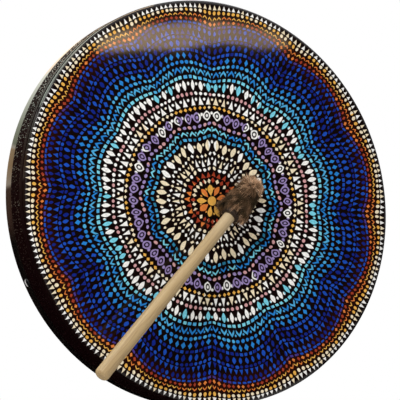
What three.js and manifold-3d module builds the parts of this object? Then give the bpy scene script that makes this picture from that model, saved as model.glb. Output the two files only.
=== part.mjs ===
// A frame drum of the shaman type with its fur-headed beater, as an assembly of separate pieces.
// Millimetres, +Z up. The drum stands on its edge: the playing head faces -Y and the open back
// faces +Y. The origin is the middle of the cross handle, where the player's hand holds the drum.

import * as THREE from 'three';
import { mergeVertices } from 'three/addons/utils/BufferGeometryUtils.js';
import Module from 'manifold-3d';

// Drum: overall size, shell, head film and trim band
const DRUM_DIAMETER = 559;
const DRUM_DEPTH = 65;
const SHELL_WALL = 8;
const REAR_EDGE_ROUND = 1.5;
const BEARING_EDGE_FALL = 2.2;
const FILM_THICKNESS = 0.4;
const FILM_EDGE_RADIUS = 5;
const FILM_SKIRT = 30;
const BAND_THICKNESS = 0.7;
const BAND_WIDTH = 37;
const BAND_EDGE_BEVEL = 0.25;
const GLUE_LINE = 0.2;

// Cross handle: two bars, half-lapped and pegged at the middle, screwed on through the shell
const HANDLE_INSET = 12;
const HANDLE_ANGLE = 26;
const BAR_THICKNESS = 16;
const BAR_LAP_WIDTH = 28;
const BAR_LAP_LENGTH = 46;
const BAR_WAIST_WIDTH = 22;
const BAR_WAIST_AT = 66;
const BAR_END_WIDTH = 38;
const BAR_SHOULDER_AT = 214;
const BAR_EDGE_ROUND = 3.5;
const BAR_SEAT_GAP = 0.3;
const LAP_GAP = 0.3;
const PEG_DIAMETER = 9;
const PEG_GAP = 0.3;
const PEG_CHAMFER = 0.6;

// Oval-head screws in cup washers let into the hoop, one pair at each end of a bar
const SCREW_DIAMETER = 4;
const SCREW_LENGTH = 36;
const SCREW_POINT = 5;
const SCREW_HEAD_DIAMETER = 8.6;
const SCREW_HEAD_DOME = 0.7;
const SCREW_HOLE_GAP = 0.3;
const SCREW_SEAT_GAP = 0.15;
const PILOT_SPARE = 2;
const WASHER_DIAMETER = 13;
const WASHER_FLOOR = 0.4;
const WASHER_LIP = 0.6;
const WASHER_SEAT_GAP = 0.3;
const WASHER_PROUD = 0.8;

// Beater: tapered stick, felt core, fur cover and neck band
const BEATER_LENGTH = 382;
const STICK_TIP_INSET = 17;
const STICK_BUTT_DIAMETER = 20;
const STICK_NECK_DIAMETER = 16.6;
const STICK_BUTT_ROUND = 5;
const STICK_TIP_CHAMFER = 1.5;
const FUR_LENGTH = 62;
const FUR_BASE_DIAMETER = 46;
const FUR_TIP_DIAMETER = 34;
const FUR_BASE_ROUND = 6;
const FUR_TIP_ROUND = 12;
const FUR_WALL = 5;
const FUR_NECK_LENGTH = 9;
const FUR_NECK_WALL = 2;
const NECK_BAND_WIDTH = 6;
const NECK_BAND_THICKNESS = 1.2;
const BEATER_FIT_GAP = 0.3;

// Where the beater rests on the head, and how it lies across it
const STRIKE_X = 36.5;
const STRIKE_Z = 1;
const STRIKE_ANGLE = 47.4;
const STRIKE_GAP = 0.5;

// Facets round a turned piece, by size
const SIDES_DRUM = 96;
const SIDES_BEATER = 32;
const SIDES_SMALL = 20;
const ARC_STEPS = 4;
const EASE_STEPS = 2;
const OUTLINE_STEPS = 9;
const BEVEL_STEPS = 3;

// Planes and radii that several pieces share
const rearY = HANDLE_INSET;
const frontY = rearY - DRUM_DEPTH;
const bandRadius = DRUM_DIAMETER / 2;
const filmRadius = bandRadius - BAND_THICKNESS - GLUE_LINE;
const shellRadius = filmRadius - FILM_THICKNESS - GLUE_LINE;
const boreRadius = shellRadius - SHELL_WALL;
const bandFrontY = frontY + FILM_EDGE_RADIUS;
const handleTurns = [0, 1, 2, 3].map((k) => THREE.MathUtils.degToRad(HANDLE_ANGLE + 90 * k));

// The cup washer's countersink is a 45 degree cone from the screw hole to the head's rim. The
// washer lies in the hoop with only its lip standing proud.
const washerHole = SCREW_DIAMETER / 2 + SCREW_HOLE_GAP;
const countersinkMouth = SCREW_HEAD_DIAMETER / 2 + SCREW_HOLE_GAP;
const washerHeight = WASHER_FLOOR + countersinkMouth - washerHole;
const washerSeat = shellRadius + WASHER_PROUD - washerHeight;

const wasm = await Module();
wasm.setup();

// A profile point: distance from the axis, place along the axis
const at = (radius, along) => new THREE.Vector2(radius, along);

// Points of a round about a centre, from one angle to the other, in degrees
function arc(centre, radius, from, to, steps = ARC_STEPS) {
  const points = [];
  for (let k = 0; k <= steps; k += 1) {
    const angle = THREE.MathUtils.degToRad(from + ((to - from) * k) / steps);
    points.push(at(centre.x + radius * Math.cos(angle), centre.y + radius * Math.sin(angle)));
  }
  return points;
}

// Weld a geometry's shared points and drop the faces that close up to nothing on the axis
function weld(geometry) {
  const bare = geometry.clone();
  bare.deleteAttribute('normal');
  bare.deleteAttribute('uv');
  const welded = mergeVertices(bare);
  const index = welded.index.array;
  const kept = [];
  for (let k = 0; k < index.length; k += 3) {
    const [a, b, c] = [index[k], index[k + 1], index[k + 2]];
    if (a !== b && b !== c && c !== a) kept.push(a, b, c);
  }
  welded.setIndex(kept);
  return welded;
}

function toSolid(geometry) {
  const welded = weld(geometry);
  return new wasm.Manifold(new wasm.Mesh({
    numProp: 3,
    vertProperties: new Float32Array(welded.attributes.position.array),
    triVerts: new Uint32Array(welded.index.array),
  }));
}

function toGeometry(solid) {
  const mesh = solid.getMesh();
  const geometry = new THREE.BufferGeometry();
  geometry.setAttribute('position', new THREE.BufferAttribute(mesh.vertProperties, 3));
  geometry.setIndex(new THREE.BufferAttribute(mesh.triVerts, 1));
  geometry.computeVertexNormals();
  return geometry;
}

// Turn a closed profile about the Y axis. The profile runs anticlockwise, axis to the left.
function turned(profile, sides) {
  const geometry = weld(new THREE.LatheGeometry(profile, sides));
  geometry.computeVertexNormals();
  return geometry;
}

// A round bar or hole along +X, from one distance to another
function roundAlongX(radius, from, to) {
  const geometry = new THREE.CylinderGeometry(radius, radius, to - from, SIDES_SMALL);
  geometry.rotateZ(-Math.PI / 2);
  geometry.translate((from + to) / 2, 0, 0);
  return geometry;
}

function piece(name, geometry, material) {
  const mesh = new THREE.Mesh(geometry, material);
  mesh.name = name;
  return mesh;
}

function finish(color, roughness, metalness) {
  return new THREE.MeshStandardMaterial({ color, roughness, metalness });
}

const lacquer = finish(0x0b0b0a, 0.18, 0);
const printedFilm = finish(0x16213f, 0.22, 0);
const pebbledVinyl = finish(0x100f0f, 0.6, 0);
const handleWood = finish(0x8a6a45, 0.5, 0);
const pegWood = finish(0x5d4128, 0.5, 0);
const blackSteel = finish(0x1c1c1d, 0.35, 0.9);
const stickWood = finish(0xbfae88, 0.55, 0);
const felt = finish(0xb8ad9a, 0.95, 0);
const fur = finish(0x5a4636, 0.9, 0);
const darkLeather = finish(0x2a1d15, 0.7, 0);

// Bent hoop with a rounded bearing edge in front, eased rear edges, and for each screw a hole with
// a counterbore that takes its washer
function shellGeometry() {
  const crownY = frontY + FILM_THICKNESS + GLUE_LINE;
  const crownRound = FILM_EDGE_RADIUS - FILM_THICKNESS - GLUE_LINE;
  const ease = REAR_EDGE_ROUND;
  const profile = [
    at(boreRadius, crownY + BEARING_EDGE_FALL),
    ...arc(at(shellRadius - crownRound, crownY + crownRound), crownRound, -90, 0),
    ...arc(at(shellRadius - ease, rearY - ease), ease, 0, 90, EASE_STEPS),
    ...arc(at(boreRadius + ease, rearY - ease), ease, 90, 180, EASE_STEPS),
    at(boreRadius, crownY + BEARING_EDGE_FALL),
  ];
  let hoop = toSolid(new THREE.LatheGeometry(profile, SIDES_DRUM));
  for (const turn of handleTurns) {
    const hole = roundAlongX(
      SCREW_DIAMETER / 2 + SCREW_HOLE_GAP,
      boreRadius - SHELL_WALL,
      shellRadius + SHELL_WALL,
    );
    const counterbore = roundAlongX(
      WASHER_DIAMETER / 2 + WASHER_SEAT_GAP,
      washerSeat - WASHER_SEAT_GAP,
      shellRadius + SHELL_WALL,
    );
    for (const cut of [hole, counterbore]) {
      cut.rotateY(-turn);
      hoop = hoop.subtract(toSolid(cut));
    }
  }
  return toGeometry(hoop);
}

// One sheet of film: the flat playing head, a rounded edge and a skirt folded down the shell
function headGeometry() {
  const edge = at(filmRadius - FILM_EDGE_RADIUS, frontY + FILM_EDGE_RADIUS);
  const inner = FILM_EDGE_RADIUS - FILM_THICKNESS;
  const skirtY = frontY + FILM_SKIRT;
  return turned([
    at(0, frontY),
    ...arc(edge, FILM_EDGE_RADIUS, -90, 0),
    at(filmRadius, skirtY),
    at(filmRadius - FILM_THICKNESS, skirtY),
    ...arc(edge, inner, 0, -90),
    at(0, frontY + FILM_THICKNESS),
  ], SIDES_DRUM);
}

// Pebbled band glued round the film's skirt, with its outer edges bevelled
function bandGeometry() {
  const bevel = BAND_EDGE_BEVEL;
  const bandRearY = bandFrontY + BAND_WIDTH;
  const insideRadius = bandRadius - BAND_THICKNESS;
  return turned([
    at(insideRadius, bandFrontY),
    at(bandRadius - bevel, bandFrontY),
    at(bandRadius, bandFrontY + bevel),
    at(bandRadius, bandRearY - bevel),
    at(bandRadius - bevel, bandRearY),
    at(insideRadius, bandRearY),
    at(insideRadius, bandFrontY),
  ], SIDES_DRUM);
}

// Outline of a bar, along X: square at the lap, drawn in where the fingers close, wide at the ends
function barOutline() {
  const lap = BAR_LAP_WIDTH / 2;
  const lapEnd = BAR_LAP_LENGTH / 2;
  const waist = BAR_WAIST_WIDTH / 2;
  const end = BAR_END_WIDTH / 2;
  const reach = boreRadius + BAR_EDGE_ROUND;
  const toWaist = (BAR_WAIST_AT - lapEnd) / 2;
  const toShoulder = (BAR_SHOULDER_AT - BAR_WAIST_AT) / 2;
  const outline = new THREE.Shape();
  const sweepOut = (side, s) => {
    outline.lineTo(side * lapEnd, s * lap);
    outline.bezierCurveTo(
      side * (lapEnd + toWaist), s * lap,
      side * (BAR_WAIST_AT - toWaist), s * waist,
      side * BAR_WAIST_AT, s * waist,
    );
    outline.bezierCurveTo(
      side * (BAR_WAIST_AT + toShoulder), s * waist,
      side * (BAR_SHOULDER_AT - toShoulder), s * end,
      side * BAR_SHOULDER_AT, s * end,
    );
    outline.lineTo(side * reach, s * end);
  };
  const sweepBack = (side, s) => {
    outline.lineTo(side * BAR_SHOULDER_AT, s * end);
    outline.bezierCurveTo(
      side * (BAR_SHOULDER_AT - toShoulder), s * end,
      side * (BAR_WAIST_AT + toShoulder), s * waist,
      side * BAR_WAIST_AT, s * waist,
    );
    outline.bezierCurveTo(
      side * (BAR_WAIST_AT - toWaist), s * waist,
      side * (lapEnd + toWaist), s * lap,
      side * lapEnd, s * lap,
    );
  };
  outline.moveTo(reach, -end);
  outline.lineTo(reach, end);
  sweepBack(1, 1);
  sweepOut(-1, 1);
  outline.lineTo(-reach, -end);
  sweepBack(-1, -1);
  sweepOut(1, -1);
  return outline;
}

// One bar along X. keepsRear says which half of its thickness is left at the lap.
function barGeometry(keepsRear) {
  const blank = new THREE.ExtrudeGeometry(barOutline(), {
    depth: BAR_THICKNESS - 2 * BAR_EDGE_ROUND,
    bevelThickness: BAR_EDGE_ROUND,
    bevelSize: BAR_EDGE_ROUND,
    bevelOffset: -BAR_EDGE_ROUND,
    bevelSegments: BEVEL_STEPS,
    curveSegments: OUTLINE_STEPS,
  });
  blank.translate(0, 0, BAR_EDGE_ROUND - BAR_THICKNESS / 2);
  blank.rotateX(Math.PI / 2);

  const seat = boreRadius - BAR_SEAT_GAP;
  const inside = new THREE.CylinderGeometry(seat, seat, 2 * BAR_THICKNESS, SIDES_DRUM);
  const lapBox = new THREE.BoxGeometry(
    BAR_LAP_WIDTH + 2 * LAP_GAP,
    BAR_THICKNESS,
    2 * BAR_LAP_WIDTH,
  );
  const lapShift = BAR_THICKNESS / 2 - LAP_GAP / 2;
  lapBox.translate(0, keepsRear ? -lapShift : lapShift, 0);
  const pegHole = new THREE.CylinderGeometry(
    PEG_DIAMETER / 2 + PEG_GAP,
    PEG_DIAMETER / 2 + PEG_GAP,
    2 * BAR_THICKNESS,
    SIDES_SMALL,
  );

  let bar = toSolid(blank).intersect(toSolid(inside));
  bar = bar.subtract(toSolid(lapBox)).subtract(toSolid(pegHole));
  for (const side of [1, -1]) {
    const pilot = roundAlongX(
      SCREW_DIAMETER / 2 + SCREW_HOLE_GAP,
      shellRadius - SCREW_LENGTH - PILOT_SPARE,
      shellRadius,
    );
    if (side < 0) pilot.rotateY(Math.PI);
    bar = bar.subtract(toSolid(pilot));
  }
  return toGeometry(bar);
}

// Peg through both bars at the lap, flush with the bars' faces
function pegGeometry() {
  const radius = PEG_DIAMETER / 2;
  const half = BAR_THICKNESS / 2;
  return turned([
    at(0, -half),
    at(radius - PEG_CHAMFER, -half),
    at(radius, -half + PEG_CHAMFER),
    at(radius, half - PEG_CHAMFER),
    at(radius - PEG_CHAMFER, half),
    at(0, half),
  ], SIDES_SMALL);
}

// Cup washer, turned about its own axis, with its seat at 0
function washerGeometry() {
  const geometry = turned([
    at(washerHole, 0),
    at(WASHER_DIAMETER / 2, 0),
    at(WASHER_DIAMETER / 2, WASHER_FLOOR),
    at(countersinkMouth + WASHER_LIP, washerHeight),
    at(countersinkMouth, washerHeight),
    at(washerHole, WASHER_FLOOR),
    at(washerHole, 0),
  ], SIDES_SMALL);
  geometry.rotateZ(-Math.PI / 2);
  geometry.translate(washerSeat, 0, 0);
  return geometry;
}

// Oval-head screw: pointed shank, countersunk head and a low dome
function screwGeometry() {
  const shank = SCREW_DIAMETER / 2;
  const headRadius = SCREW_HEAD_DIAMETER / 2;
  const neck = washerSeat + WASHER_FLOOR + SCREW_SEAT_GAP;
  const rim = neck + headRadius - shank;
  const tip = shellRadius - SCREW_LENGTH;
  const domeSphere = (headRadius ** 2 + SCREW_HEAD_DOME ** 2) / (2 * SCREW_HEAD_DOME);
  const domeCentre = at(0, rim + SCREW_HEAD_DOME - domeSphere);
  const domeEdge = THREE.MathUtils.radToDeg(Math.acos(headRadius / domeSphere));
  const geometry = turned([
    at(0, tip),
    at(shank, tip + SCREW_POINT),
    at(shank, neck),
    ...arc(domeCentre, domeSphere, domeEdge, 90).map((p) => at(Math.max(p.x, 0), p.y)),
  ], SIDES_SMALL);
  geometry.rotateZ(-Math.PI / 2);
  return geometry;
}

// Half outline of the beater's head, from its base to its tip on the axis, drawn in by an inset
function headOutline(inset) {
  const base = BEATER_LENGTH - FUR_LENGTH + inset;
  const top = BEATER_LENGTH - inset;
  const baseRadius = FUR_BASE_DIAMETER / 2 - inset;
  const tipRadius = FUR_TIP_DIAMETER / 2 - inset;
  const baseRound = Math.max(FUR_BASE_ROUND - inset, BEATER_FIT_GAP);
  const tipRound = Math.max(FUR_TIP_ROUND - inset, BEATER_FIT_GAP);
  return [
    ...arc(at(baseRadius - baseRound, base + baseRound), baseRound, -90, 0),
    ...arc(at(tipRadius - tipRound, top - tipRound), tipRound, 0, 90),
    at(0, top),
  ];
}

const stickTip = BEATER_LENGTH - STICK_TIP_INSET;
const neckRadius = STICK_NECK_DIAMETER / 2;
const furBase = BEATER_LENGTH - FUR_LENGTH;
const furNeckInside = neckRadius + BEATER_FIT_GAP;
const furNeckOutside = furNeckInside + FUR_NECK_WALL;

// Tapered stick from the rounded butt to the neck, then straight on into the core
function stickGeometry() {
  const butt = STICK_BUTT_DIAMETER / 2;
  return turned([
    at(0, 0),
    ...arc(at(butt - STICK_BUTT_ROUND, STICK_BUTT_ROUND), STICK_BUTT_ROUND, -90, 0),
    at(neckRadius, furBase - FUR_NECK_LENGTH),
    at(neckRadius, stickTip - STICK_TIP_CHAMFER),
    at(neckRadius - STICK_TIP_CHAMFER, stickTip),
    at(0, stickTip),
  ], SIDES_BEATER);
}

// Felt core, bored for the stick
function coreGeometry() {
  const inset = FUR_WALL + BEATER_FIT_GAP;
  const bore = neckRadius + BEATER_FIT_GAP;
  const outside = headOutline(inset);
  return turned([
    at(bore, outside[0].y),
    ...outside,
    at(0, stickTip + BEATER_FIT_GAP),
    at(bore, stickTip + BEATER_FIT_GAP),
    at(bore, outside[0].y),
  ], SIDES_BEATER);
}

// Fur cover drawn over the core and gathered to a neck on the stick
function furGeometry() {
  const inside = headOutline(FUR_WALL).reverse();
  const mouth = furBase - FUR_NECK_LENGTH;
  return turned([
    at(furNeckInside, mouth),
    at(furNeckOutside, mouth),
    at(furNeckOutside, furBase),
    ...headOutline(0),
    ...inside,
    at(furNeckInside, inside.at(-1).y),
    at(furNeckInside, mouth),
  ], SIDES_BEATER);
}

// Leather band that binds the cover's neck to the stick
function neckBandGeometry() {
  const inside = furNeckOutside + BEATER_FIT_GAP;
  const outside = inside + NECK_BAND_THICKNESS;
  const top = furBase - (FUR_NECK_LENGTH - NECK_BAND_WIDTH) / 2;
  const foot = top - NECK_BAND_WIDTH;
  return turned([
    at(inside, foot),
    at(outside, foot),
    at(outside, top),
    at(inside, top),
    at(inside, foot),
  ], SIDES_BEATER);
}

function drumGroup() {
  const drum = new THREE.Group();
  drum.add(piece('shell_hoop', shellGeometry(), lacquer));
  drum.add(piece('drum_head', headGeometry(), printedFilm));
  drum.add(piece('trim_band', bandGeometry(), pebbledVinyl));

  const barA = piece('handle_bar_a', barGeometry(true), handleWood);
  barA.rotation.y = -handleTurns[0];
  const barB = piece('handle_bar_b', barGeometry(false), handleWood);
  barB.rotation.y = -handleTurns[1];
  drum.add(barA, barB, piece('handle_peg', pegGeometry(), pegWood));

  handleTurns.forEach((turn, k) => {
    const corner = new THREE.Group();
    corner.rotation.y = -turn;
    corner.add(piece(`cup_washer_${k + 1}`, washerGeometry(), blackSteel));
    corner.add(piece(`handle_screw_${k + 1}`, screwGeometry(), blackSteel));
    drum.add(corner);
  });
  return drum;
}

// The beater lies with the slope of its fur flat along the film, so its stick leans out of the
// head's plane by the slope of the fur
function beaterGroup() {
  const beater = new THREE.Group();
  beater.add(piece('beater_stick', stickGeometry(), stickWood));
  beater.add(piece('beater_core', coreGeometry(), felt));
  beater.add(piece('beater_fur', furGeometry(), fur));
  beater.add(piece('beater_neck_band', neckBandGeometry(), darkLeather));

  const slopeStart = furBase + FUR_BASE_ROUND;
  const slopeEnd = BEATER_LENGTH - FUR_TIP_ROUND;
  const lean = Math.atan2((FUR_BASE_DIAMETER - FUR_TIP_DIAMETER) / 2, slopeEnd - slopeStart);
  const middleRadius = (FUR_BASE_DIAMETER + FUR_TIP_DIAMETER) / 4;
  const across = THREE.MathUtils.degToRad(STRIKE_ANGLE);
  const towardsTip = new THREE.Vector3(
    Math.cos(lean) * Math.cos(across),
    Math.sin(lean),
    Math.cos(lean) * Math.sin(across),
  );
  const strikePoint = new THREE.Vector3(
    STRIKE_X,
    frontY - STRIKE_GAP - middleRadius * Math.cos(lean),
    STRIKE_Z,
  );
  beater.quaternion.setFromUnitVectors(new THREE.Vector3(0, 1, 0), towardsTip);
  beater.position.copy(strikePoint).addScaledVector(towardsTip, -(slopeStart + slopeEnd) / 2);
  return beater;
}

const group = new THREE.Group();
group.add(drumGroup());
group.add(beaterGroup());

export default group;
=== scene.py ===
"""Looks of a hand-held frame drum and its fur-headed beater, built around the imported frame.

Metres. The drum's axis is Y: the printed head faces -Y and the open back faces +Y.
"""
import math
import random

import bmesh
import bpy
import numpy as np
from mathutils import Matrix, Vector


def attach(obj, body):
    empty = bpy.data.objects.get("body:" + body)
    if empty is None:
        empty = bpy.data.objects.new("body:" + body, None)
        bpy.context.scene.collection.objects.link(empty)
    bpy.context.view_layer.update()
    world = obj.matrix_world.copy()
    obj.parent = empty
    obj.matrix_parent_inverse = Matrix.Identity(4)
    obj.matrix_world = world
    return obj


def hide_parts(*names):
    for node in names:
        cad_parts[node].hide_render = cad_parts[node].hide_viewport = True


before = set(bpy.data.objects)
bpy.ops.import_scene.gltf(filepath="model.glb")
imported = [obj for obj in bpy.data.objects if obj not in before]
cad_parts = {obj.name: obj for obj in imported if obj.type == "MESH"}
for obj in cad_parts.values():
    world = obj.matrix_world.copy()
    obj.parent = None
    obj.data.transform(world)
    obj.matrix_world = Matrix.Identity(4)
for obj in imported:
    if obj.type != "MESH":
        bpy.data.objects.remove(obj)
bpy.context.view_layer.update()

MM = 0.001
SEED = 7
scene = bpy.context.scene

# Camera: place of the lens seen from the middle of the head, and the photo's framing
VIEW_AZIMUTH = -27.265
VIEW_ELEVATION = -9.051
VIEW_DISTANCE = 3.1
LENS_MM = 204.4
SENSOR_MM = 36.0
SHIFT_X = -0.0320
SHIFT_Y = 0.0006

# Fineness of turned pieces
SIDES_DRUM = 240
SIDES_BEATER = 64
SIDES_SMALL = 40


# Sizes read from the frame

def points_of(node):
    """The corner points of a frame node, one row each."""
    return np.array([v.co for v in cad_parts[node].data.vertices], float)


def turned_sizes(node):
    """Least and greatest distance from the drum's axis, and least and greatest Y."""
    points = points_of(node)
    reach = np.hypot(points[:, 0], points[:, 2])
    return reach.min(), reach.max(), points[:, 1].min(), points[:, 1].max()


BORE_RADIUS, SHELL_RADIUS, CROWN_Y, REAR_Y = turned_sizes("shell_hoop")
_, FILM_RADIUS, FRONT_Y, SKIRT_Y = turned_sizes("drum_head")
BAND_INSIDE, BAND_RADIUS, BAND_FRONT_Y, BAND_REAR_Y = turned_sizes("trim_band")


# Mesh helpers

def mesh_object(name, points, faces):
    """An object in the scene with a mesh of its own."""
    mesh = bpy.data.meshes.new(name)
    mesh.from_pydata([tuple(p) for p in points], [], faces)
    made = bpy.data.objects.new(name, mesh)
    scene.collection.objects.link(made)
    return made


def new_piece(name, points, faces, material, body, node, slot, sharp=35):
    """A smooth-shaded mesh piece that rides on a body and may stand for a frame node."""
    piece = mesh_object(name, points, faces)
    mesh = piece.data
    mesh.validate()
    mesh.polygons.foreach_set("use_smooth", [True] * len(mesh.polygons))
    mesh.set_sharp_from_angle(angle=math.radians(sharp))
    mesh.materials.append(material)
    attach(piece, body)
    if node:
        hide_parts(node)
    return piece


def arc(centre, radius, start, end, steps):
    """Points of a round in a profile: distance from the axis, place along it. Degrees."""
    angles = [math.radians(start + (end - start) * k / steps) for k in range(steps + 1)]
    return [(centre[0] + radius * math.cos(a), centre[1] + radius * math.sin(a)) for a in angles]


def turn(profile, sides):
    """Points and faces of a profile turned about Y. One that starts on the axis also ends there."""
    points, rings = [], []
    for radius, along in profile:
        if radius == 0:
            rings.append([len(points)] * sides)
            points.append((0.0, along, 0.0))
            continue
        rings.append(list(range(len(points), len(points) + sides)))
        for k in range(sides):
            angle = 2 * math.pi * k / sides
            points.append((radius * math.cos(angle), along, radius * math.sin(angle)))
    faces = []
    pairs = list(zip(rings, rings[1:]))
    if profile[0][0] > 0:
        pairs.append((rings[-1], rings[0]))
    for low, high in pairs:
        for k in range(sides):
            n = (k + 1) % sides
            corners = [low[k], high[k], high[n], low[n]]
            face = [c for i, c in enumerate(corners) if c != corners[i - 1]]
            if len(face) > 2:
                faces.append(face)
    return points, faces


def moved(points, matrix):
    return [matrix @ Vector(p) for p in points]


def about_y(degrees):
    """A turn in the head's plane, from +X towards +Z."""
    return Matrix.Rotation(math.radians(-degrees), 4, "Y")


# Camera

def add_camera():
    azimuth, elevation = math.radians(VIEW_AZIMUTH), math.radians(VIEW_ELEVATION)
    back = Vector((
        math.sin(azimuth) * math.cos(elevation),
        -math.cos(azimuth) * math.cos(elevation),
        math.sin(elevation),
    ))
    camera = bpy.data.objects.new("camera", bpy.data.cameras.new("camera"))
    camera.location = Vector((0, FRONT_Y, 0)) + back * VIEW_DISTANCE
    camera.rotation_euler = (-back).to_track_quat("-Z", "Y").to_euler()
    camera.data.lens = LENS_MM
    camera.data.sensor_width = SENSOR_MM
    camera.data.shift_x = SHIFT_X
    camera.data.shift_y = SHIFT_Y
    camera.data.clip_end = 100
    scene.collection.objects.link(camera)
    scene.camera = camera


# Shading helpers

class Shade:
    """The nodes of one material, or of the world, made by short calls that give back sockets."""

    def __init__(self, name, book=bpy.data.materials, shader="Principled BSDF"):
        self.owner = book.new(name)
        self.owner.use_nodes = True
        self.tree = self.owner.node_tree
        self.shader = self.tree.nodes[shader]
        self.place = self.node("TexCoord").outputs["Object"]

    def feed(self, socket, value):
        if isinstance(value, bpy.types.NodeSocket):
            self.tree.links.new(value, socket)
        elif value is not None:
            socket.default_value = value

    def node(self, kind, *inputs, **settings):
        made = self.tree.nodes.new("ShaderNode" + kind)
        for key, value in settings.items():
            setattr(made, key, value)
        for socket, value in zip(made.inputs, inputs):
            self.feed(socket, value)
        return made

    def math(self, operation, *inputs):
        return self.node("Math", *inputs, operation=operation).outputs[0]

    def times(self, a, b):
        return self.math("MULTIPLY", a, b)

    def minus(self, a, b):
        return self.math("SUBTRACT", a, b)

    def vector(self, operation, *inputs):
        return self.node("VectorMath", *inputs, operation=operation).outputs[0]

    def mapped(self, scale, turn=(0, 0, 0)):
        """Object coordinates, turned and then stretched."""
        turned = self.node("Mapping", self.place, (0, 0, 0), turn).outputs[0]
        return self.vector("MULTIPLY", turned, scale)

    def axes(self, place=None):
        """X, Y and Z of a place, which is the object's own unless another is given."""
        return self.node("SeparateXYZ", place or self.place).outputs

    def hypot(self, a, b):
        return self.math("SQRT", self.math("MULTIPLY_ADD", a, a, self.times(b, b)))

    def noise(self, scale, detail=4.0, roughness=0.55, place=None, colour=False):
        """Noise as one value, or as three that differ."""
        made = self.node("TexNoise", place or self.place, None, scale, detail, roughness)
        return made.outputs[1 if colour else 0]

    def cells(self, place, scale):
        """Distance from the middle of a cell, and a chance value for each cell."""
        made = self.node("TexVoronoi", place, None, scale)
        return made.outputs["Distance"], made.outputs["Color"]

    def span(self, value, low, high, to_low=0.0, to_high=1.0, ease="LINEAR"):
        made = self.node("MapRange", value, low, high, to_low, to_high)
        made.interpolation_type = ease
        return made.outputs[0]

    def mix(self, share, low, high):
        """One colour over another."""
        made = self.node("Mix", data_type="RGBA")
        for index, value in ((0, share), (6, low), (7, high)):
            self.feed(made.inputs[index], rgba(value))
        return made.outputs[2]

    def scaled(self, colour, amount):
        made = self.node("VectorMath", colour, operation="SCALE")
        self.feed(made.inputs["Scale"], amount)
        return made.outputs[0]

    def ramp(self, value, stops, steps=False):
        """Colour and alpha by value, from pairs of place and colour."""
        made = self.node("ValToRGB", value)
        ramp = made.color_ramp
        ramp.interpolation = "CONSTANT" if steps else "LINEAR"
        ramp.elements.remove(ramp.elements[1])
        ramp.elements[0].position = stops[0][0]
        ramp.elements[0].color = rgba(stops[0][1])
        for place, colour in stops[1:]:
            ramp.elements.new(place).color = rgba(colour)
        return made.outputs

    def bump(self, height, distance, strength):
        made = self.node("Bump", strength, distance, None, height)
        self.feed(self.shader.inputs["Normal"], made.outputs[0])

    def finish(self, **sockets):
        """Set the shader's sockets and give back the material or world."""
        for name, value in sockets.items():
            self.feed(self.shader.inputs[name.replace("_", " ")], rgba(value))
        return self.owner


def rgba(value):
    """A colour with its alpha, from a hex code as it shows on a screen or from three linear levels.

    Any other value is given back as it is.
    """
    if isinstance(value, str):
        levels = [int(value[k:k + 2], 16) / 255 for k in (0, 2, 4)]
        value = tuple(v / 12.92 if v <= 0.04045 else ((v + 0.055) / 1.055) ** 2.4 for v in levels)
    return (*value, 1.0) if isinstance(value, tuple) and len(value) == 3 else value


# Print on the head: rows of marks round the middle, bent into twelve points

PRINT_ROWS = 128
PRINT_POINTS = 12
PRINT_BEND = 0.075
PRINT_POINT_LEVEL = 0.64
PRINT_WANDER = 2.4 * MM
PRINT_WANDER_SCALE = 70.0
LAST_LEVEL = 0.9999
MOST_MARKS = 256.0
CHANCE_STEP = 1000.0
FORM_STEP = 0.1
MARK_SHIFT = 0.13
MARK_SIZES = (0.84, 1.12)
MARK_BLUR = 0.1
DOT_BLUR = 0.07
DOT_LIFT = 0.3
SWAP_LEVEL = 0.62
SWAP_AT_POINTS = 0.45
INK_WEAR = (0.78, 1.06)
WARM_RING = 0.9
WARM_REACH = 0.07
CHEVRON_DROP = 0.45
CHEVRON_HALF = 0.34
EYE_RIM = 0.2
EYE_PUPIL = 0.3
BARE = 0.01
MARKS = ("bead", "diamond", "tooth", "leaf", "chevron", "eye", "dash")
GROUND, WARM_GROUND = "120908", "2a0f0a"
GOLD, CREAM, WHITE = "f2b654", "f9e8c6", "fffdf8"
ORANGE, RUST, PINK = "e8833f", "a8412a", "d9a3a4"
LILAC, VIOLET = "a08cc0", "4a3b8c"
CYAN, SKY, AZURE = "7fd6ea", "53b1e4", "2b86d6"
TEAL, ROYAL, NAVY = "2f83a8", "1f50ba", "152884"

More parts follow.
